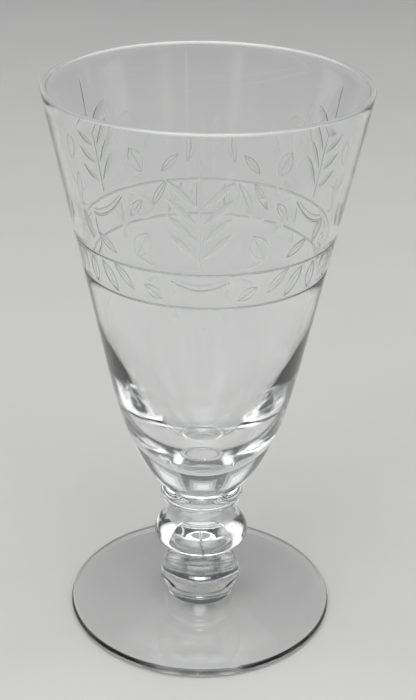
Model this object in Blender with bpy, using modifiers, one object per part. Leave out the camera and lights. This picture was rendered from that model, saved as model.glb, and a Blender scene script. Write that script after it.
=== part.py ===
"""Stemmed wine glass with a ringed stem, in clear crystal.

The glass is five pieces of hot glass joined end to end on one upright axis. From the
table up they are the foot, the lower knop, the middle knop, the collar and the bowl.
Every piece is turned, so each one is a half outline swept round +Z by a Screw modifier.
An outline is written in the piece's own frame, with its lower face at z = 0, as (radius,
height) points that run down the outer side from top to bottom.

Units are metres. The underside of the foot stands at z = 0.
"""

from math import cos, dist, radians, sin

import bmesh
import bpy

# ---- driving dimensions -------------------------------------------------------------

# Foot
FOOT_RADIUS = 0.0376           # largest radius of the disc
FOOT_EDGE_THICKNESS = 0.0023   # thickness at the rounded edge
FOOT_HUB_THICKNESS = 0.0040    # thickness in the middle, under the stem
FOOT_REST_WIDTH = 0.0060       # width of the flat ring that touches the table
FOOT_HOLLOW_DEPTH = 0.0008     # rise of the underside inside that ring
FOOT_SLOPE_RUN = 0.0058        # how far out from the stem the top falls most steeply
FOOT_SLOPE_DROP = 0.0009       # how far it has fallen there

# Joints, each one a flat disc shared by the two pieces that meet there
FOOT_JOINT_RADIUS = 0.0096     # foot to lower knop
LOWER_JOINT_RADIUS = 0.0058    # lower knop to middle knop
UPPER_JOINT_RADIUS = 0.0058    # middle knop to collar
BOWL_JOINT_RADIUS = 0.0093     # collar to bowl
JOINT_CLEARANCE = 0.0003       # gap kept between the faces of two solids

# Lower knop: a domed ring with a sharper lip low down
LOWER_KNOP_HEIGHT = 0.0136
LOWER_KNOP_RADIUS = 0.01155
LOWER_LIP_HEIGHT = 0.0046      # height of the widest circle above the piece's base
LOWER_LIP_ROUNDING = 0.0019    # height of the turned-under edge of the lip
LOWER_FILLET_RUN = 0.0016      # flare under the upper joint: how far out
LOWER_FILLET_DROP = 0.0010     # and how far down
LOWER_DOME_DROP = 0.0028       # height lost before the dome turns down to the lip
LOWER_DOME_INSET = 0.0006      # how much narrower than the lip the dome is there

# Middle knop: the widest ring, a flattened ball
MIDDLE_KNOP_HEIGHT = 0.0128
MIDDLE_KNOP_RADIUS = 0.0133
MIDDLE_WAIST_HEIGHT = 0.0060   # height of the widest circle above the piece's base
MIDDLE_FILLET = 0.0012         # flare under the upper joint, out and down alike
MIDDLE_TOP_DROP = 0.0026       # height lost before the top turns down to the waist
MIDDLE_WAIST_DROP = 0.0024     # how far below the waist the side still falls straight
MIDDLE_BASE_RUN = 0.0030       # flare above the lower joint: how far out
MIDDLE_BASE_RISE = 0.0012      # and how far up

# Collar: the small ring that carries the bowl
COLLAR_HEIGHT = 0.0074
COLLAR_RADIUS = 0.01164
COLLAR_WAIST_HEIGHT = 0.00565  # height of the widest circle above the piece's base
COLLAR_NECK_HEIGHT = 0.0020    # straight neck under the ring
COLLAR_TOP_DROP = 0.0003       # fall of the top face before it turns down to the waist
COLLAR_WAIST_DROP = 0.0022     # how far below the waist the side still falls straight
COLLAR_FILLET_RUN = 0.0020     # flare above the neck: how far out
COLLAR_FILLET_RISE = 0.0010    # and how far up

# Bowl: a straight cone on a rounded, heavy base
BOWL_HEIGHT = 0.1160
RIM_RADIUS = 0.04166
BOWL_FLARE = 0.2032            # outward run of the outer wall for each unit of height
BOWL_SHOULDER_HEIGHT = 0.0383  # where the straight wall starts, above the bowl's base
BOWL_TURN_HEIGHT = 0.0080      # how low the wall's line is followed before it turns in
RIM_WALL = 0.0015              # wall thickness at the rim
SHOULDER_WALL = 0.0022         # wall thickness where the cavity starts to round in
CAVITY_SHOULDER_HEIGHT = 0.0550
CAVITY_FLOOR_HEIGHT = 0.0108   # solid glass under the lowest point of the cavity
CAVITY_FLOOR_ROUNDING = 0.0110 # how far the floor runs out level before it turns up
CAVITY_SIDE_ROUNDING = 0.0280  # how far the wall runs down straight before it turns in

# Sides of the turned pieces; multiples of four, so that the widest points lie on X and Y
BOWL_SIDES = 72
FOOT_SIDES = 72
KNOP_SIDES = 48

SAME_POINT = 0.000001          # points of an outline closer than this are one point


# ---- outline helpers ----------------------------------------------------------------

def lerp(a, b, t):
    return (a[0] + (b[0] - a[0]) * t, a[1] + (b[1] - a[1]) * t)


def curve(handles, steps):
    """Points along a Bezier curve with any number of handles, both ends included."""
    points = []
    for i in range(steps + 1):
        level = list(handles)
        while len(level) > 1:
            level = [lerp(a, b, i / steps) for a, b in zip(level, level[1:])]
        points.append(level[0])
    return points


def arc(centre, radii, start, end, steps):
    """Points on an ellipse from angle start to angle end, in degrees, both included."""
    angles = [radians(start + (end - start) * i / steps) for i in range(steps + 1)]
    return [(centre[0] + radii[0] * cos(a), centre[1] + radii[1] * sin(a)) for a in angles]


def joined(*stretches):
    """One outline from several stretches, with points that repeat left out."""
    outline = []
    for stretch in stretches:
        for point in stretch:
            if not outline or dist(point, outline[-1]) > SAME_POINT:
                outline.append(point)
    return outline


# ---- scene helpers ------------------------------------------------------------------

def clear_scene():
    for item in list(bpy.data.objects):
        bpy.data.objects.remove(item, do_unlink=True)


def crystal(name, color, roughness):
    """Clear glass: no metal, almost no roughness, light passes straight through."""
    material = bpy.data.materials.new(name)
    material.use_nodes = True
    shader = material.node_tree.nodes["Principled BSDF"]
    shader.inputs["Base Color"].default_value = (*color, 1.0)
    shader.inputs["Roughness"].default_value = roughness
    shader.inputs["Metallic"].default_value = 0.0
    shader.inputs["Transmission Weight"].default_value = 1.0
    shader.inputs["IOR"].default_value = 1.52
    material.diffuse_color = (*color, 1.0)
    return material


def turned(name, outline, sides, base_height, material, collection):
    """Sweep an outline round +Z and stand the piece with its lower face at base_height."""
    mesh = bpy.data.meshes.new(name)
    profile = bmesh.new()
    corners = [profile.verts.new((radius, 0.0, height)) for radius, height in outline]
    for upper, lower in zip(corners, corners[1:]):
        profile.edges.new((upper, lower))
    profile.to_mesh(mesh)
    profile.free()

    piece = bpy.data.objects.new(name, mesh)
    piece.location = (0.0, 0.0, base_height)
    collection.objects.link(piece)
    mesh.materials.append(material)

    screw = piece.modifiers.new("turn", "SCREW")
    screw.axis = "Z"
    screw.angle = radians(360.0)
    screw.steps = sides
    screw.render_steps = sides
    screw.use_merge_vertices = True
    screw.merge_threshold = SAME_POINT
    screw.use_smooth_shade = True
    return piece


# ---- outlines of the five pieces ----------------------------------------------------

def foot_outline():
    """A thin disc, slightly conical on top, that stands on a flat ring at its edge."""
    edge = FOOT_EDGE_THICKNESS / 2
    rest_outer = FOOT_RADIUS - edge
    rest_inner = rest_outer - FOOT_REST_WIDTH
    top = [(0.0, FOOT_HUB_THICKNESS), (FOOT_JOINT_RADIUS, FOOT_HUB_THICKNESS)]
    slope = curve([top[-1],
                   (FOOT_JOINT_RADIUS + FOOT_SLOPE_RUN, FOOT_HUB_THICKNESS - FOOT_SLOPE_DROP),
                   (rest_outer, FOOT_EDGE_THICKNESS)], 5)
    rim = arc((rest_outer, edge), (edge, edge), 90, -90, 6)
    hollow = curve([(rest_inner, 0.0),
                    (rest_inner / 2, FOOT_HOLLOW_DEPTH),
                    (0.0, FOOT_HOLLOW_DEPTH)], 4)
    return joined(top, slope, rim, hollow)


def lower_knop_outline():
    """A dome from the narrow upper joint to a lip, turned under to the wide lower joint."""
    top = [(0.0, LOWER_KNOP_HEIGHT), (LOWER_JOINT_RADIUS, LOWER_KNOP_HEIGHT)]
    widest = (LOWER_KNOP_RADIUS, LOWER_LIP_HEIGHT)
    dome = curve([top[-1],
                  (LOWER_JOINT_RADIUS + LOWER_FILLET_RUN, LOWER_KNOP_HEIGHT - LOWER_FILLET_DROP),
                  (LOWER_KNOP_RADIUS - LOWER_DOME_INSET, LOWER_KNOP_HEIGHT - LOWER_DOME_DROP),
                  widest], 9)
    lip = arc((FOOT_JOINT_RADIUS, LOWER_LIP_HEIGHT),
              (LOWER_KNOP_RADIUS - FOOT_JOINT_RADIUS, LOWER_LIP_ROUNDING), 0, -90, 5)
    return joined(top, dome, lip, [(FOOT_JOINT_RADIUS, 0.0), (0.0, 0.0)])


def middle_knop_outline():
    """A flattened ball between two narrow joints."""
    top = [(0.0, MIDDLE_KNOP_HEIGHT), (UPPER_JOINT_RADIUS, MIDDLE_KNOP_HEIGHT)]
    widest = (MIDDLE_KNOP_RADIUS, MIDDLE_WAIST_HEIGHT)
    upper = curve([top[-1],
                   (UPPER_JOINT_RADIUS + MIDDLE_FILLET, MIDDLE_KNOP_HEIGHT - MIDDLE_FILLET),
                   (MIDDLE_KNOP_RADIUS, MIDDLE_KNOP_HEIGHT - MIDDLE_TOP_DROP),
                   widest], 9)
    lower = curve([widest,
                   (MIDDLE_KNOP_RADIUS, MIDDLE_WAIST_HEIGHT - MIDDLE_WAIST_DROP),
                   (LOWER_JOINT_RADIUS + MIDDLE_BASE_RUN, MIDDLE_BASE_RISE),
                   (LOWER_JOINT_RADIUS, 0.0)], 8)
    return joined(top, upper, lower, [(0.0, 0.0)])


def collar_outline():
    """A round-edged ring under the bowl, on a short straight neck."""
    top = [(0.0, COLLAR_HEIGHT), (BOWL_JOINT_RADIUS, COLLAR_HEIGHT)]
    widest = (COLLAR_RADIUS, COLLAR_WAIST_HEIGHT)
    shoulder = curve([top[-1], (COLLAR_RADIUS, COLLAR_HEIGHT - COLLAR_TOP_DROP), widest], 5)
    neck_top = (UPPER_JOINT_RADIUS, COLLAR_NECK_HEIGHT)
    underside = curve([widest,
                       (COLLAR_RADIUS, COLLAR_WAIST_HEIGHT - COLLAR_WAIST_DROP),
                       (UPPER_JOINT_RADIUS + COLLAR_FILLET_RUN,
                        COLLAR_NECK_HEIGHT + COLLAR_FILLET_RISE),
                       neck_top], 8)
    return joined(top, shoulder, underside, [(UPPER_JOINT_RADIUS, 0.0), (0.0, 0.0)])


def outer_wall_radius(height):
    """Radius of the bowl's straight outer wall, whose line ends at the rim."""
    return RIM_RADIUS - (BOWL_HEIGHT - RIM_WALL / 2 - height) * BOWL_FLARE


def bowl_outline():
    """Up the inside of the cavity, over the rim, and down the outer wall to the base."""
    rim_centre = (RIM_RADIUS - RIM_WALL / 2, BOWL_HEIGHT - RIM_WALL / 2)
    inner_rim = (RIM_RADIUS - RIM_WALL, rim_centre[1])
    inner_shoulder = (outer_wall_radius(CAVITY_SHOULDER_HEIGHT) - SHOULDER_WALL,
                      CAVITY_SHOULDER_HEIGHT)
    inner_flare = (inner_rim[0] - inner_shoulder[0]) / (inner_rim[1] - inner_shoulder[1])
    cavity = curve([(0.0, CAVITY_FLOOR_HEIGHT),
                    (CAVITY_FLOOR_ROUNDING, CAVITY_FLOOR_HEIGHT),
                    (inner_shoulder[0] - inner_flare * CAVITY_SIDE_ROUNDING,
                     inner_shoulder[1] - CAVITY_SIDE_ROUNDING),
                    inner_shoulder], 10)
    rim = arc(rim_centre, (RIM_WALL / 2, RIM_WALL / 2), 180, 0, 6)
    base = (BOWL_JOINT_RADIUS, 0.0)
    belly = curve([(outer_wall_radius(BOWL_SHOULDER_HEIGHT), BOWL_SHOULDER_HEIGHT),
                   (outer_wall_radius(BOWL_TURN_HEIGHT), BOWL_TURN_HEIGHT),
                   base], 10)
    return joined(cavity, rim, belly, [(0.0, 0.0)])


# ---- assembly -----------------------------------------------------------------------

PIECES = (
    # name, outline, sides, height, colour, roughness
    ("foot", foot_outline, FOOT_SIDES, FOOT_HUB_THICKNESS, (0.95, 0.97, 0.97), 0.02),
    ("lower_knop", lower_knop_outline, KNOP_SIDES, LOWER_KNOP_HEIGHT, (0.94, 0.95, 0.96), 0.015),
    ("middle_knop", middle_knop_outline, KNOP_SIDES, MIDDLE_KNOP_HEIGHT, (0.94, 0.95, 0.97), 0.015),
    ("collar", collar_outline, KNOP_SIDES, COLLAR_HEIGHT, (0.95, 0.96, 0.97), 0.015),
    ("bowl", bowl_outline, BOWL_SIDES, BOWL_HEIGHT, (0.96, 0.97, 0.98), 0.01),
)


def build():
    clear_scene()
    collection = bpy.data.collections.new("wine_glass")
    bpy.context.scene.collection.children.link(collection)
    base_height = 0.0
    for name, outline, sides, height, color, roughness in PIECES:
        material = crystal(name + "_crystal", color, roughness)
        turned(name, outline(), sides, base_height, material, collection)
        base_height += height + JOINT_CLEARANCE


build()
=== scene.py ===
# %% [markdown]
# # A stemmed wine glass in clear, engraved crystal
# The glass stands on a pale table in soft studio light. Its five blown and pressed pieces,
# bowl, collar, middle knop, lower knop and foot, were melted together end to end on one
# upright axis. The assembly's frame is loaded first, and each piece below takes the place
# of one of its plain parts. Lengths are in metres and +Z is up.

# %% Load the frame
from math import atan2, cos, pi, radians, sin

import bmesh
import bpy
from mathutils import Matrix, Vector


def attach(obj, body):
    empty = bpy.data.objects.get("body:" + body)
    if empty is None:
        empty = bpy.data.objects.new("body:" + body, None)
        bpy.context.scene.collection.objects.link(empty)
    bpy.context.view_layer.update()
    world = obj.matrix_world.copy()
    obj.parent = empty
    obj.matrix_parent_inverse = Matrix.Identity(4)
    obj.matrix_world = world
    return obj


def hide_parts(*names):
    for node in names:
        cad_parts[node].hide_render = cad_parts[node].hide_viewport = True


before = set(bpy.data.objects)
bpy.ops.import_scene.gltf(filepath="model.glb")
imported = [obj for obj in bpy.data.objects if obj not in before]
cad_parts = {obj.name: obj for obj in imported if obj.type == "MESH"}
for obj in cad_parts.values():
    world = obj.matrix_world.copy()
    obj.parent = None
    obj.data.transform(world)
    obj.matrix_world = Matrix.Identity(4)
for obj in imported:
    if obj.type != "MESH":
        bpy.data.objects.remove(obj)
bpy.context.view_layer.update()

MM = 0.001

# %% [markdown]
# ## Shader sums as plain Python
# A finish on glass is a sum of many faint marks, so the node trees are written as sums.
# `Reading` wraps one socket and makes a Math node for each operator. `Finish` owns one
# material, and its `node` method is the only place where any other node is made.

# %% Wrap a socket so that operators make Math nodes
class Reading:
    def __init__(self, finish, socket):
        self.finish = finish
        self.socket = socket

    def sum(self, operation, *others):
        made = self.finish.node("ShaderNodeMath", {"operation": operation},
                                dict(enumerate((self,) + others)))
        return self.finish.read(made)

    def __add__(self, other):
        return self.sum("ADD", other)

    def __radd__(self, other):
        return self.sum("ADD", other)

    def __sub__(self, other):
        return self.sum("SUBTRACT", other)

    def __rsub__(self, other):
        made = self.finish.node("ShaderNodeMath", {"operation": "SUBTRACT"}, {0: other, 1: self})
        return self.finish.read(made)

    def __mul__(self, other):
        return self.sum("MULTIPLY", other)

    def __rmul__(self, other):
        return self.sum("MULTIPLY", other)

    def __truediv__(self, other):
        return self.sum("DIVIDE", other)

    def __abs__(self):
        return self.sum("ABSOLUTE")

    def least(self, other):
        return self.sum("MINIMUM", other)

    def most(self, other):
        return self.sum("MAXIMUM", other)

    def wrapped(self, low, high):
        return self.sum("WRAP", high, low)

    def ramp(self, start, end):
        """0 at start and 1 at end, held outside, with soft shoulders."""
        made = self.finish.node("ShaderNodeMapRange", {"interpolation_type": "SMOOTHSTEP"},
                                {"Value": self, "From Min": start, "From Max": end})
        return self.finish.read(made)


# %% Own one material's nodes
class Finish:
    def __init__(self, name):
        self.material = bpy.data.materials.new(name)
        self.material.use_nodes = True
        self.tree = self.material.node_tree
        self.shader = self.tree.nodes["Principled BSDF"]

    def node(self, kind, settings=None, values=None):
        made = self.tree.nodes.new(kind)
        for key, value in (settings or {}).items():
            setattr(made, key, value)
        for key, value in (values or {}).items():
            self.feed(made.inputs[key], value)
        return made

    def feed(self, socket, value):
        if isinstance(value, Reading):
            self.tree.links.new(value.socket, socket)
        else:
            socket.default_value = value

    def read(self, made, output=0):
        return Reading(self, made.outputs[output])

    def place(self):
        """Object coordinates, as the vector and as its three numbers in millimetres."""
        where = self.read(self.node("ShaderNodeTexCoord"), "Object")
        parts = self.node("ShaderNodeSeparateXYZ", values={"Vector": where})
        return where, [self.read(parts, axis) * 1000.0 for axis in ("X", "Y", "Z")]

    def stretched(self, where, scale):
        made = self.node("ShaderNodeMapping", values={"Vector": where, "Scale": scale})
        return self.read(made)

    def noise(self, where, scale, detail=2.0, roughness=0.5):
        made = self.node("ShaderNodeTexNoise", values={
            "Vector": where, "Scale": scale, "Detail": detail, "Roughness": roughness})
        return self.read(made, "Fac")


print("shader helpers ready")

# %% [markdown]
# ## Marks that every handled glass carries
# Polished crystal is almost a mirror, but a glass that has been used and dried by hand has
# dust grains, a few fibres of lint, dried drops and hairline scratches. Each is a mask on
# Object coordinates. Drops and scratches only roughen the polish. Dust hides the glass, so
# its mask also feeds Metallic, which stops the light there and throws it back softly.

# %% Masks for dust, lint, dried drops and hairlines
def dust_grains(finish, where, density, size):
    cells = finish.node("ShaderNodeTexVoronoi", {"feature": "F1"},
                        {"Vector": where, "Scale": density, "Randomness": 1.0})
    near = finish.read(cells, "Distance")
    tint = finish.node("ShaderNodeSeparateColor", values={"Color": finish.read(cells, "Color")})
    chance = finish.read(tint, "Red")
    reach = (chance - 0.62) * size
    return (reach - near).ramp(0.0, size * 0.12)


def lint_fibres(finish, where, scale, width):
    path = abs(finish.noise(where, scale, 1.0) - 0.5)
    thin = 1.0 - path.ramp(width * 0.4, width)
    patch = finish.noise(where, scale * 1.9, 0.0).ramp(0.72, 0.75)
    return thin * patch


def dried_drops(finish, where, density, size):
    cells = finish.node("ShaderNodeTexVoronoi", {"feature": "F1"},
                        {"Vector": where, "Scale": density, "Randomness": 0.9})
    near = finish.read(cells, "Distance")
    tint = finish.node("ShaderNodeSeparateColor", values={"Color": finish.read(cells, "Color")})
    chosen = finish.read(tint, "Green").ramp(0.80, 0.82)
    ring = 1.0 - abs(near - size).ramp(size * 0.08, size * 0.30)
    film = (1.0 - near.ramp(size * 0.5, size)) * 0.25
    return ring.most(film) * chosen


def hairlines(finish, where, scale):
    along = finish.stretched(where, (1.0, 0.06, 0.25))
    path = abs(finish.noise(along, scale, 0.0) - 0.5)
    return (1.0 - path.ramp(0.0004, 0.0012)) * finish.noise(where, 90.0, 0.0).ramp(0.5, 0.6)


def dusted(finish, where, dusty):
    """How much of the glass pale dust and lint hide, from 0 to 1."""
    grains = dust_grains(finish, where, 400.0, 0.20)
    grains = grains.most(dust_grains(finish, where, 900.0, 0.22) * 0.6)
    fluff = lint_fibres(finish, where, 120.0, 0.0030) * 0.30
    return grains.most(fluff) * dusty


def handled(finish, where):
    """The roughness that drying and handling leave, from 0 on clean polish."""
    marks = dried_drops(finish, where, 120.0, 0.16) * 0.22
    marks = marks.most(hairlines(finish, where, 150.0) * 0.25)
    smear = finish.noise(finish.stretched(where, (1.0, 1.0, 0.45)), 55.0, 3.0).ramp(0.50, 0.85)
    return marks + smear * 0.012


print("handling marks ready")

# %% [markdown]
# ## Clear crystal
# Lead crystal is nearly colourless, with a high index of about 1.52 to 1.55 that makes its
# edges flash. The knops were tooled while soft, so their surface has slow ripples a few
# hundredths of a millimetre high, which a Bump node gives at that real height.

# %% A recipe for polished crystal
CRYSTAL_INDEX = 1.53


def crystal(name, ripple, ripple_scale):
    finish = Finish(name)
    where, place = finish.place()
    finish.shader.inputs["Base Color"].default_value = (0.988, 0.994, 0.992, 1.0)
    finish.shader.inputs["Transmission Weight"].default_value = 1.0
    finish.shader.inputs["IOR"].default_value = CRYSTAL_INDEX
    roughness = handled(finish, where)
    height = finish.noise(finish.stretched(where, ripple_scale), 60.0, 1.0) * ripple
    return finish, where, place, roughness, height


def polish(finish, roughness, height, hidden):
    finish.feed(finish.shader.inputs["Metallic"], hidden)
    finish.feed(finish.shader.inputs["Roughness"], (roughness + hidden * 0.8).least(0.9))
    bump = finish.node("ShaderNodeBump", values={"Strength": 1.0, "Distance": MM, "Height": height})
    finish.feed(finish.shader.inputs["Normal"], finish.read(bump))
    return finish.material


def plain_crystal(name, dusty, ripple, ripple_scale, clear=1.0, satin=0.0):
    finish, where, place, roughness, height = crystal(name, ripple, ripple_scale)
    finish.shader.inputs["Transmission Weight"].default_value = clear
    return polish(finish, roughness + satin, height, dusted(finish, where, dusty))


foot_finish = plain_crystal("foot_crystal_finish", 1.0, 0.02, (1.0, 1.0, 0.3), clear=0.995)
lower_finish = plain_crystal("lower_knop_finish", 0.5, 0.03, (1.0, 1.0, 2.0))
collar_finish = plain_crystal("collar_finish", 0.5, 0.02, (1.0, 1.0, 2.0))
print("plain crystal finishes:", foot_finish.name, lower_finish.name, collar_finish.name)

# %% [markdown]
# ### The shear mark on the middle knop
# Where the glassmaker cut the gather with shears, the cooled skin folded into a short
# upright crease. It is a hairline valley on the front of the knop.

# %% The middle knop's finish
def sheared_crystal(name):
    finish, where, (x, y, z), roughness, height = crystal(name, 0.03, (1.0, 1.0, 2.0))
    lean = abs(x - 0.6 + (z - 24.0) * 0.16)
    reach = z.ramp(18.6, 20.5) * (1.0 - z.ramp(27.0, 29.0)) * (1.0 - y.ramp(-4.0, 0.0))
    crease = (1.0 - lean.ramp(0.0, 0.42)) * reach
    hidden = dusted(finish, where, 0.5)
    return polish(finish, roughness + crease * 0.10, height - crease * 0.40, hidden)


middle_finish = sheared_crystal("middle_knop_finish")
print("middle knop finish:", middle_finish.name)

# %% [markdown]
# ### The melted joints
# Two pieces of hot glass that are pressed together become one: no surface is left where
# they met. The pieces stay separate solids here, so the discs where they meet are given
# a finish that is fully clear, and light crosses them as if they weren't there.

# %% A finish for the melted discs
melted = Finish("melted_joint")
melted.shader.inputs["Alpha"].default_value = 0.0
print("melted joint finish:", melted.material.name)

# %% [markdown]
# ## The engraving on the bowl
# A copper wheel cut the pattern about a tenth of a millimetre deep. Two rings run round
# the bowl and hold a frieze of leaves and swags. Above them stand three sprays of wheat
# with an oval leaf at each side. The pattern is drawn flat: `across` is the distance in
# millimetres round the wall from a spray's stem, and `up` is the height above the table.

# %% Shapes that the wheel cuts
def blade(across, up, middle, half, width, turn):
    """A pointed leaf, 1 along its middle line and 0 at its edge."""
    c, s = cos(radians(turn)), sin(radians(turn))
    side = across - middle[0]
    rise = up - middle[1]
    along = (side * c + rise * s) / half
    off = abs(rise * c - side * s) / width
    return (1.0 - along * along - off).ramp(0.0, 0.75)


def loop(across, up, middle, radii, line):
    """A ring-shaped cut with the given half width of line."""
    side = (across - middle[0]) / radii[0]
    rise = (up - middle[1]) / radii[1]
    out = (side * side + rise * rise).sum("SQRT")
    return 1.0 - abs(out - 1.0).ramp(line * 0.3, line)


def swag(across, up, middle, half, sag, line):
    """A hanging garland: a parabola between two ends at the same height."""
    side = (across - middle[0]) / half
    rise = up - middle[1] - side * side * sag
    inside = 1.0 - abs(side).ramp(0.94, 1.0)
    return (1.0 - abs(rise).ramp(line * 0.3, line)) * inside


print("wheel cuts ready")

# %% The pattern of one third of the bowl
RIM_RADIUS, RIM_MIDDLE, FLARE = 41.66, 154.25, 0.2032
RING_HEIGHTS = (108.0, 117.5)
RING_HALF_WIDTH = 0.30
REPEATS = 3
PATTERN_TURN = 0.035
PATTERN_RADIUS = 37.0
CUT_DEPTH = 0.12


def wheat_spray(across, up):
    side = abs(across)
    slant = (up - 119.0 - side * 0.95) / 4.7
    row = abs(slant.wrapped(0.0, 1.0) - 0.5)
    reach = (side - 4.3) / 3.9
    grain = (1.0 - reach * reach - row * 3.0).ramp(0.0, 0.55)
    height = slant.ramp(0.0, 0.05) * (1.0 - slant.ramp(3.95, 4.0))
    stem = (1.0 - side.ramp(0.12, 0.34)) * up.ramp(118.5, 119.5) * (1.0 - up.ramp(147.0, 150.0))
    return (grain * height).most(stem)


def outlined(across, up, middle, half, width, turn, vein=0.16):
    """A leaf cut as a bright outline with a middle vein, over a shallow satin bed."""
    whole = blade(across, up, middle, half, width, turn)
    outline = whole.ramp(0.02, 0.22) * (1.0 - whole.ramp(0.25, 0.6))
    c, s = cos(radians(turn)), sin(radians(turn))
    off = abs((up - middle[1]) * c - (across - middle[0]) * s)
    line = (1.0 - off.ramp(vein * 0.4, vein)) * whole.ramp(0.05, 0.3)
    return (outline * 0.75).most(line).most(whole * 0.30)


def frieze(across, up):
    side = abs(across)
    cuts = swag(side, up, (0.0, 113.0), 8.0, 2.6, 0.42)
    cuts = cuts.most(swag(side, up, (0.0, 114.6), 7.0, 1.6, 0.24) * 0.5)
    cuts = cuts.most(outlined(side, up, (13.0, 111.6), 3.4, 1.9, 32.0))
    cuts = cuts.most(blade(side, up, (12.6, 115.2), 2.7, 0.8, -22.0) * 0.7)
    cuts = cuts.most(outlined(side, up, (21.8, 114.2), 4.8, 1.5, 47.0))
    cuts = cuts.most(outlined(side, up, (27.3, 112.8), 5.0, 2.1, 58.0))
    cuts = cuts.most(outlined(side, up, (34.2, 112.8), 4.2, 2.2, 90.0))
    cuts = cuts.most(blade(side, up, (7.4, 112.0), 2.6, 0.8, 90.0) * 0.8)
    cuts = cuts.most(blade(side, up, (7.0, 105.6), 1.9, 1.5, 90.0) * 0.8)
    return cuts


def crown(across, up):
    side = abs(across)
    cuts = outlined(side, up, (14.8, 124.4), 4.4, 2.9, 118.0, 0.1)
    cuts = cuts.most(blade(side, up, (13.6, 119.6), 3.4, 0.7, 20.0) * 0.7)
    cuts = cuts.most(blade(side, up, (19.2, 129.5), 4.2, 1.1, 58.0) * 0.7)
    cuts = cuts.most(loop(side, up, (14.0, 135.2), (2.6, 2.8), 0.20) * 0.5)
    cuts = cuts.most(outlined(side, up, (26.0, 122.4), 4.0, 1.4, 36.0))
    cuts = cuts.most(outlined(side, up, (32.5, 125.8), 4.0, 1.4, 74.0))
    return cuts


def engraving(finish, x, y, z):
    angle = finish.read(finish.node("ShaderNodeMath", {"operation": "ARCTAN2"},
                                    {0: x, 1: -1.0 * y}))
    third = 2.0 * pi / REPEATS
    turned = (angle + PATTERN_TURN).wrapped(-third / 2.0, third / 2.0)
    across = turned * PATTERN_RADIUS
    outside = (x * x + y * y).sum("SQRT") - (z - RIM_MIDDLE) * FLARE - RIM_RADIUS
    facing = outside.ramp(-0.7, -0.5)
    cuts = wheat_spray(across, z).most(frieze(across, z)).most(crown(across, z))
    for height in RING_HEIGHTS:
        cuts = cuts.most(1.0 - abs(z - height).ramp(0.16, RING_HALF_WIDTH))
    return cuts * facing


print("engraving:", REPEATS, "repeats between rings at", RING_HEIGHTS, "mm")

# %% [markdown]
# ### The bowl's finish
# The cut marks keep a soft satin from the wheel, and the rim was melted smooth. The rim
# is half diffuse white, a painted sheen that stands in for the even reflection of the
# overhead light along its round edge, and a satin roughness makes it less sharp than the
# walls. The walls also carry faint upright waves from being blown and turned.

# %% The bowl's finish
def engraved_crystal(name):
    finish, where, (x, y, z), roughness, height = crystal(name, 0.05, (1.0, 1.0, 0.05))
    finish.shader.inputs["Transmission Weight"].default_value = 0.99
    cuts = engraving(finish, x, y, z)
    grain = finish.noise(where, 2600.0, 1.0)
    roughness = roughness + cuts * (0.26 + 0.30 * grain)
    hidden = dusted(finish, where, 1.0).most(cuts * 0.06)
    return polish(finish, roughness, height - cuts * CUT_DEPTH, hidden)


bowl_finish = engraved_crystal("bowl_finish")
# The rim's finish is half diffuse white: a painted sheen for the overhead light's even reflection
# on its round edge.
rim_painted_sheen = plain_crystal("rim_painted_sheen", 0.6, 0.02, (1.0, 1.0, 0.3), clear=0.50, satin=0.20)
print("bowl finish nodes:", len(bowl_finish.node_tree.nodes))

# %% [markdown]
# ## Turning a piece
# Every piece is a solid of revolution, as a real one is from being turned on the iron.
# Half its outline is drawn from smooth curves, and one `spin` sweeps it round the axis.

# %% Outline helpers
def lerp(a, b, t):
    return (a[0] + (b[0] - a[0]) * t, a[1] + (b[1] - a[1]) * t)


def curve(handles, steps):
    """Points along a Bezier curve with any number of handles."""
    points = []
    for i in range(steps + 1):
        level = list(handles)
        while len(level) > 1:
            level = [lerp(a, b, i / steps) for a, b in zip(level, level[1:])]
        points.append(level[0])
    return points


def arc(centre, radii, start, end, steps):
    angles = [radians(start + (end - start) * i / steps) for i in range(steps + 1)]
    return [(centre[0] + radii[0] * cos(a), centre[1] + radii[1] * sin(a)) for a in angles]


# %% Spin an outline into a closed piece
SAME = 1e-7
ROUND_STEPS = 160


def turned_piece(name, outline, finish, joints, steps=ROUND_STEPS, shape=None):
    work = bmesh.new()
    line = [work.verts.new((r * MM, 0.0, z * MM)) for r, z in outline]
    for upper, lower in zip(line, line[1:]):
        if (upper.co - lower.co).length > SAME:
            work.edges.new((upper, lower))
    bmesh.ops.spin(work, geom=work.verts[:] + work.edges[:], cent=(0, 0, 0), axis=(0, 0, 1),
                   angle=2 * pi, steps=steps, use_merge=True)
    bmesh.ops.remove_doubles(work, verts=work.verts[:], dist=SAME)
    bmesh.ops.recalc_face_normals(work, faces=work.faces[:])
    for face in work.faces:
        face.smooth = True
        if abs(face.normal.z) > 0.999:
            level = face.calc_center_median().z / MM
            face.material_index = int(any(abs(level - joint) < 0.001 for joint in joints))
    for edge in work.edges:
        edge.smooth = edge.calc_face_angle(0.0) < radians(40)
    if shape:
        for vert in work.verts:
            vert.co = shape(vert.co)
    mesh = bpy.data.meshes.new(name)
    work.to_mesh(mesh)
    work.free()
    mesh.materials.append(finish)
    mesh.materials.append(melted.material)
    piece = bpy.data.objects.new(name, mesh)
    bpy.context.scene.collection.objects.link(piece)
    print(name, len(mesh.polygons), "faces,", [round(v / MM, 2) for v in piece.dimensions], "mm")
    return piece


def stand_in(piece, node):
    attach(piece, "root")
    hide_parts(node)


# %% [markdown]
# ## The heights of the joints
# Each joint is one disc that two pieces share. The lower piece ends on it and the upper
# piece starts on it, so no air is left between them.

# %% Joint heights and radii, in millimetres
FOOT_JOINT, LOWER_JOINT, UPPER_JOINT, BOWL_JOINT = 4.15, 18.05, 31.15, 38.85
FOOT_JOINT_RADIUS, NECK_RADIUS, BOWL_JOINT_RADIUS = 9.6, 5.8, 9.3
HALF_GAP = 0.15
print("joints at", FOOT_JOINT, LOWER_JOINT, UPPER_JOINT, BOWL_JOINT)

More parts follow.
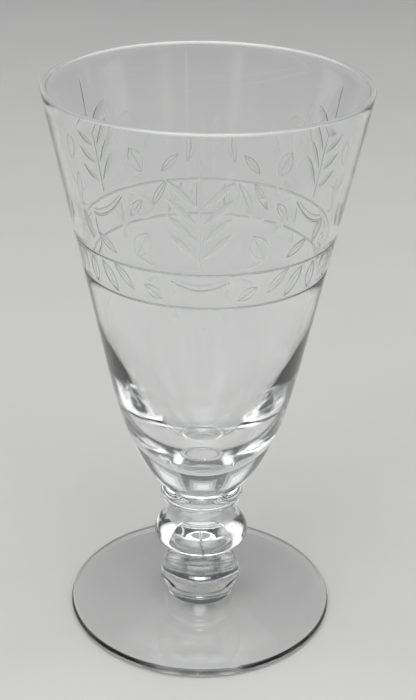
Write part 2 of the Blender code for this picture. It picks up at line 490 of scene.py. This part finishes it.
# %% [markdown]
# ## The foot
# A gather was dropped on a marver and spun flat, which leaves a disc that is thickest at
# the stem and a rounded edge. It stands on a ring at its edge and is hollow inside that.

# %% Turn the foot
FOOT_RADIUS, REST_WIDTH, HOLLOW = 37.6, 6.0, 0.8
EDGE = 2.3 / 2
REST_OUTER = FOOT_RADIUS - EDGE
REST_INNER = REST_OUTER - REST_WIDTH
foot_line = [(0.0, FOOT_JOINT), (FOOT_JOINT_RADIUS, FOOT_JOINT)]
foot_line += curve([(FOOT_JOINT_RADIUS, FOOT_JOINT - HALF_GAP), (FOOT_JOINT_RADIUS + 5.8, 3.1),
                    (REST_OUTER, 2 * EDGE)], 48)
foot_line += arc((REST_OUTER, EDGE), (EDGE, EDGE), 90, -90, 24)
foot_line += curve([(REST_INNER, 0.0), (REST_INNER / 2, HOLLOW), (0.0, HOLLOW)], 32)
foot = turned_piece("foot_crystal", foot_line, foot_finish, (FOOT_JOINT,))
stand_in(foot, "foot")

# %% [markdown]
# ## The lower knop
# A domed ring with a thin lip low down. The lip was pinched with the jacks while the
# piece turned, so its underside tucks straight in to the wide joint on the foot.

# %% Turn the lower knop
LOWER_RADIUS = 11.55
LIP = FOOT_JOINT + HALF_GAP + 4.6
LOWER_TOP = LOWER_JOINT - HALF_GAP
lower_line = [(0.0, LOWER_JOINT), (NECK_RADIUS, LOWER_JOINT)]
lower_line += curve([(NECK_RADIUS, LOWER_TOP), (NECK_RADIUS + 1.6, LOWER_TOP - 1.0),
                     (LOWER_RADIUS - 0.6, LOWER_TOP - 2.8), (LOWER_RADIUS, LIP)], 48)
lower_line += arc((FOOT_JOINT_RADIUS, LIP), (LOWER_RADIUS - FOOT_JOINT_RADIUS, 1.9), 0, -90, 20)
lower_line += [(FOOT_JOINT_RADIUS, FOOT_JOINT), (0.0, FOOT_JOINT)]
lower_knop = turned_piece("lower_knop_crystal", lower_line, lower_finish,
                          (FOOT_JOINT, LOWER_JOINT))
stand_in(lower_knop, "lower_knop")

# %% [markdown]
# ## The middle knop
# The widest ring of the stem, a flattened ball between two narrow necks.

# %% Turn the middle knop
MIDDLE_RADIUS = 13.3
MIDDLE_BASE, MIDDLE_TOP = LOWER_JOINT + HALF_GAP, UPPER_JOINT - HALF_GAP
WAIST = MIDDLE_BASE + 6.0
middle_line = [(0.0, UPPER_JOINT), (NECK_RADIUS, UPPER_JOINT)]
middle_line += curve([(NECK_RADIUS, MIDDLE_TOP), (NECK_RADIUS + 1.2, MIDDLE_TOP - 1.2),
                      (MIDDLE_RADIUS, MIDDLE_TOP - 2.6), (MIDDLE_RADIUS, WAIST)], 48)
middle_line += curve([(MIDDLE_RADIUS, WAIST), (MIDDLE_RADIUS, WAIST - 2.4),
                      (NECK_RADIUS + 3.0, MIDDLE_BASE + 1.2), (NECK_RADIUS, MIDDLE_BASE)], 40)
middle_line += [(NECK_RADIUS, LOWER_JOINT), (0.0, LOWER_JOINT)]
middle_knop = turned_piece("middle_knop_crystal", middle_line, middle_finish,
                           (LOWER_JOINT, UPPER_JOINT))
stand_in(middle_knop, "middle_knop")

# %% [markdown]
# ## The collar
# A small round-edged ring on a short straight neck, which the bowl was set on.

# %% Turn the collar
COLLAR_RADIUS = 11.64
COLLAR_BASE, COLLAR_TOP = UPPER_JOINT + HALF_GAP, BOWL_JOINT - HALF_GAP
BULGE = COLLAR_BASE + 5.65
NECK_TOP = COLLAR_BASE + 2.0
collar_line = [(0.0, BOWL_JOINT), (BOWL_JOINT_RADIUS, BOWL_JOINT)]
collar_line += curve([(BOWL_JOINT_RADIUS, COLLAR_TOP), (COLLAR_RADIUS, COLLAR_TOP - 0.3),
                      (COLLAR_RADIUS, BULGE)], 28)
collar_line += curve([(COLLAR_RADIUS, BULGE), (COLLAR_RADIUS, BULGE - 2.2),
                      (NECK_RADIUS + 2.0, NECK_TOP + 1.0), (NECK_RADIUS, NECK_TOP)], 36)
collar_line += [(NECK_RADIUS, UPPER_JOINT), (0.0, UPPER_JOINT)]
collar = turned_piece("collar_crystal", collar_line, collar_finish, (UPPER_JOINT, BOWL_JOINT))
stand_in(collar, "collar")

# %% [markdown]
# ## The bowl
# A straight cone on a heavy rounded base. The cavity is narrower than the outside, so the
# base is a lens of solid glass that gathers the light. The two rings of the engraving are
# real grooves in the outline. Blown glass is never quite round, and a few hundredths of a
# millimetre of slow upright waves in the walls are what bend reflections into streaks.

# %% The bowl's outline, in millimetres
BASE, WALL = BOWL_JOINT + HALF_GAP, 1.5
TURN_IN, TURN_LINE = 77.3, 47.0
SHOULDER, SHOULDER_WALL, CAVITY_SIDE = 94.0, 2.2, 28.0
FLOOR_HEIGHT, FLOOR_RUN = 49.8, 11.0
GROOVE_HALF, GROOVE_DEPTH, GROOVE_MARGIN = 0.24, 0.09, 0.5


def outer(z):
    return RIM_RADIUS - (RIM_MIDDLE - z) * FLARE


def wall(*heights):
    return [(outer(z), z) for z in heights]


def upright(start, end, rows):
    return [lerp(start, end, i / rows) for i in range(1, rows)]


def groove(z):
    """A shallow valley, between two points that hold the straight wall on each side of it."""
    above, below = wall(z + GROOVE_HALF, z - GROOVE_HALF)
    bottom = (outer(z) - GROOVE_DEPTH, z)
    valley = [lerp(above, bottom, 0.5), bottom, lerp(bottom, below, 0.5)]
    return wall(z + GROOVE_MARGIN) + valley + wall(z - GROOVE_MARGIN)


LOWER_RING, UPPER_RING = RING_HEIGHTS
RINGS_TOP, RINGS_BASE = UPPER_RING + GROOVE_MARGIN, LOWER_RING - GROOVE_MARGIN
inner_shoulder = (outer(SHOULDER) - SHOULDER_WALL, SHOULDER)
inner_rim = (RIM_RADIUS - WALL, RIM_MIDDLE)
inner_flare = (inner_rim[0] - inner_shoulder[0]) / (inner_rim[1] - inner_shoulder[1])
side_handle = (inner_shoulder[0] - inner_flare * CAVITY_SIDE, SHOULDER - CAVITY_SIDE)
bowl_line = curve([(0.0, FLOOR_HEIGHT), (FLOOR_RUN, FLOOR_HEIGHT), side_handle, inner_shoulder], 72)
bowl_line += upright(inner_shoulder, inner_rim, 16)
bowl_line += arc((RIM_RADIUS - WALL / 2, RIM_MIDDLE), (WALL / 2, WALL / 2), 180, 0, 24)
bowl_line += upright(*wall(RIM_MIDDLE, RINGS_TOP), 12)
bowl_line += groove(UPPER_RING) + wall(112.8) + groove(LOWER_RING)
bowl_line += upright(*wall(RINGS_BASE, TURN_IN), 10)
bowl_line += curve(wall(TURN_IN, TURN_LINE) + [(BOWL_JOINT_RADIUS, BASE)], 72)
bowl_line += [(BOWL_JOINT_RADIUS, BOWL_JOINT), (0.0, BOWL_JOINT)]
print("bowl outline:", len(bowl_line), "points")


# %% Turn the bowl
def blown(co):
    """Slow waves round the wall, nothing at the base and never outside the true cone."""
    height = min(max((co.z / MM - 62.0) / 30.0, 0.0), 1.0)
    angle = atan2(co.y, co.x)
    wave = sin(5 * angle + 0.6) + 0.6 * sin(11 * angle + 2.1 + co.z * 9.0)
    wave += 0.4 * sin(23 * angle + 1.0 - co.z * 14.0)
    shrink = 1.0 - height * (wave + 2.0) * 0.00022
    return Vector((co.x * shrink, co.y * shrink, co.z))


bowl = turned_piece("bowl_crystal", bowl_line, bowl_finish, (BOWL_JOINT,), 256, blown)
# Slot 2 is the rim, whose finish carries the painted sheen.
bowl.data.materials.append(rim_painted_sheen)
for face in bowl.data.polygons:
    if face.center.z > RIM_MIDDLE * MM:
        face.material_index = 2
stand_in(bowl, "bowl")

# %% [markdown]
# ## The table
# A plain pale table top. It lies a hair below the foot so that the two surfaces never
# share a plane.

# %% Lay the floor
table_finish = Finish("pale_table")
spot, table_place = table_finish.place()
mottle = table_finish.noise(spot, 14.0, 3.0)
tone = table_finish.node("ShaderNodeMix", {"data_type": "RGBA"}, {
    "Factor": mottle, "A": (0.70, 0.70, 0.69, 1.0), "B": (0.76, 0.755, 0.745, 1.0)})
table_finish.feed(table_finish.shader.inputs["Base Color"], table_finish.read(tone, "Result"))
table_finish.shader.inputs["Roughness"].default_value = 0.7

table_work = bmesh.new()
bmesh.ops.create_grid(table_work, x_segments=2, y_segments=2, size=3.0)
bmesh.ops.translate(table_work, verts=table_work.verts[:], vec=(0.0, 0.0, -0.0002))
table_mesh = bpy.data.meshes.new("table_top")
table_work.to_mesh(table_mesh)
table_work.free()
table_mesh.materials.append(table_finish.material)
table = bpy.data.objects.new("table_top", table_mesh)
bpy.context.scene.collection.objects.link(table)
print("table top laid")

# %% [markdown]
# ## Light
# One broad soft panel overhead lights the pale table. Clear glass is drawn by what it
# reflects and bends, so tall soft panels at each side draw the walls, and soft panels in
# front and behind fill the base and the stem. Every panel lights the table as well as the
# glass. The panels are hidden from the camera, so that none stands in the way of a low view.

# %% Set the lamps
AIM = Vector((0.0, 0.0, 0.07))
LAYERS = (1.0, 0.72, 0.45)


def panel(name, place, width, height, power):
    lamp = bpy.data.lights.new(name, "AREA")
    lamp.shape = "RECTANGLE"
    lamp.size = width
    lamp.size_y = height
    lamp.energy = power
    holder = bpy.data.objects.new(name, lamp)
    holder.location = place
    holder.rotation_euler = (AIM - Vector(place)).to_track_quat("-Z", "Y").to_euler()
    holder.visible_camera = False
    bpy.context.scene.collection.objects.link(holder)


def soft_panel(name, bearing, height, width, tall, radiance, reach=1.0):
    """A soft box aimed at the stem, by compass bearing from the front and by elevation.

    Its cloth is brightest in the middle, so it is three nested panels that add up."""
    turn, lift = radians(bearing), radians(height)
    for layer, share in enumerate(LAYERS):
        far = reach + 0.004 * layer
        place = (far * sin(turn) * cos(lift), -far * cos(turn) * cos(lift),
                 AIM.z + far * sin(lift))
        across, up = width * share, tall * share
        power = pi * across * up * radiance / len(LAYERS)
        panel(name + "_" + str(layer), place, across, up, power)


soft_panel("overhead_panel", 0, 78, 1.60, 1.05, 2.8)
soft_panel("front_left_panel", 325, 34, 0.60, 0.70, 1.6)
soft_panel("front_left_low_panel", 338, 14, 0.20, 0.30, 0.55)
soft_panel("left_panel", 252, 26, 0.50, 0.90, 1.3)
soft_panel("right_panel", 114, 28, 0.46, 0.90, 1.4)
soft_panel("right_low_panel", 80, 18, 0.45, 0.45, 1.1)
soft_panel("front_right_panel", 32, 32, 0.55, 0.45, 0.8)
soft_panel("front_right_strip", 17, 16, 0.035, 0.36, 0.9)
soft_panel("front_right_low_panel", 34, 14, 0.22, 0.30, 0.35)
soft_panel("front_top_panel", 5, 45, 0.80, 0.30, 0.8)
soft_panel("back_right_panel", 154, 14, 0.45, 0.40, 0.8)
soft_panel("back_left_panel", 208, 14, 0.42, 0.40, 0.8)
soft_panel("back_middle_panel", 181, 12, 0.34, 0.24, 0.6, 1.06)
soft_panel("back_window", 180, 47, 0.10, 0.30, 3.6)
soft_panel("back_soft_panel", 180, 46, 0.24, 0.26, 1.0, 1.03)

paths = bpy.context.scene.cycles
paths.max_bounces = 24
paths.transmission_bounces = 24
paths.glossy_bounces = 12
paths.transparent_max_bounces = 48
paths.caustics_refractive = True
paths.caustics_reflective = False
paths.blur_glossy = 0.3

world = bpy.data.worlds.new("quiet_room")
world.use_nodes = True
world.node_tree.nodes["Background"].inputs["Color"].default_value = (0.10, 0.102, 0.105, 1.0)
bpy.context.scene.world = world

# %% [markdown]
# ## Camera
# The camera looks down on the rim from in front, at about twenty-six degrees.

# %% Place the camera
YAW, PITCH, ROLL = 0.0032, 0.4597, 0.018
FOCAL, TALL_SIDE = 1440.6, 700.0
EYE = (0.0, -0.3493, 0.2539)
ahead = Vector((sin(YAW) * cos(PITCH), cos(YAW) * cos(PITCH), -sin(PITCH)))
level = Vector((cos(YAW), -sin(YAW), 0.0))
raised = level.cross(ahead)
side = cos(ROLL) * level + sin(ROLL) * raised
top = cos(ROLL) * raised - sin(ROLL) * level
lens = bpy.data.cameras.new("studio_camera")
lens.sensor_width = 36.0
lens.lens = lens.sensor_width * FOCAL / TALL_SIDE
lens.clip_start = 0.01
camera = bpy.data.objects.new("studio_camera", lens)
turned = Matrix((side, top, -ahead)).transposed().to_4x4()
camera.matrix_world = Matrix.Translation(EYE) @ turned
bpy.context.scene.collection.objects.link(camera)
bpy.context.scene.camera = camera
bpy.context.scene.view_settings.view_transform = "Standard"
print("camera focal length:", round(lens.lens, 2), "mm")
